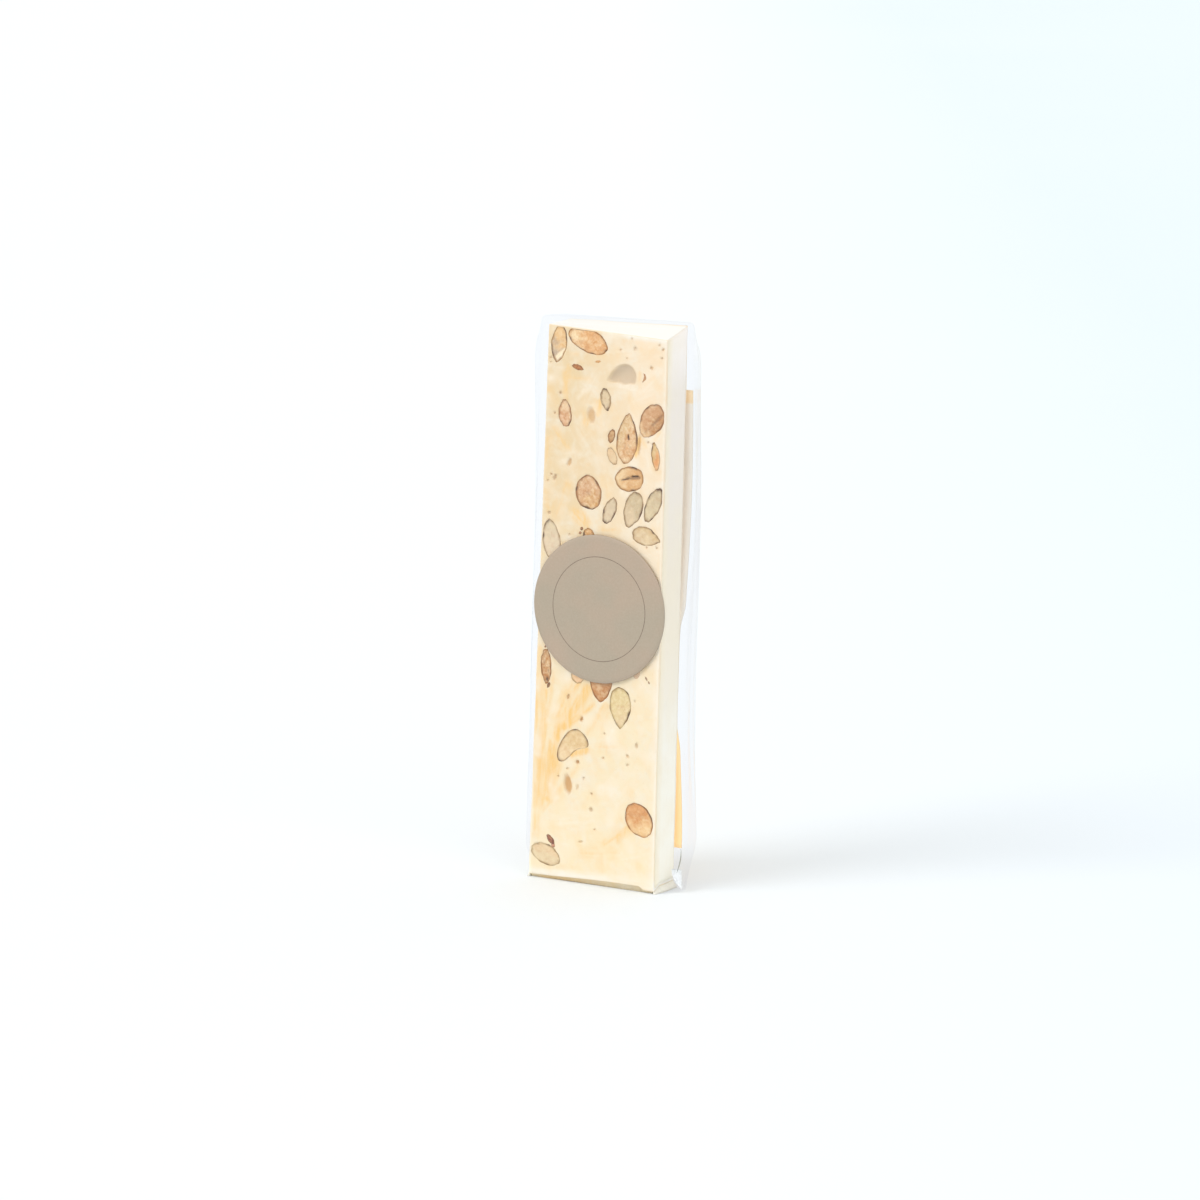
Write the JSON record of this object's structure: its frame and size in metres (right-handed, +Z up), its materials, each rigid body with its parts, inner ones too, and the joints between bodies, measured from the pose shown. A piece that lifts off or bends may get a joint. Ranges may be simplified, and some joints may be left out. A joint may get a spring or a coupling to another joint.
{
  "type": "nougat bar in a clear bag",
  "caption": "Upright bar of almond nougat in a tight clear bag, with a plain round sticker on its front and a long paper label on its back.",
  "frame": {"origin": "on the ground, in the middle of the part's box", "axes": "+Z up along the bar's length, -Y out of the cut face with the round sticker, +X to that face's right"},
  "size_m": [0.0571, 0.0178, 0.172],
  "materials": {
    "clear_film": "clear glossy film, with the nougat bar inside",
    "nougat": "cut nougat, cream with warmer streaks, slightly waxy",
    "almond": "cut roasted almond with a thin brown skin",
    "wafer": "matt white wafer sheet",
    "sticker_paper": "taupe paper, matt to satin, with a thin printed ring",
    "label_paper": "satin label paper with plain fields of colour"
  },
  "bodies": {
    "root": {"film_pack": "clear_film", "round_sticker": "sticker_paper", "back_label": "label_paper"}
  },
  "joints": []
}
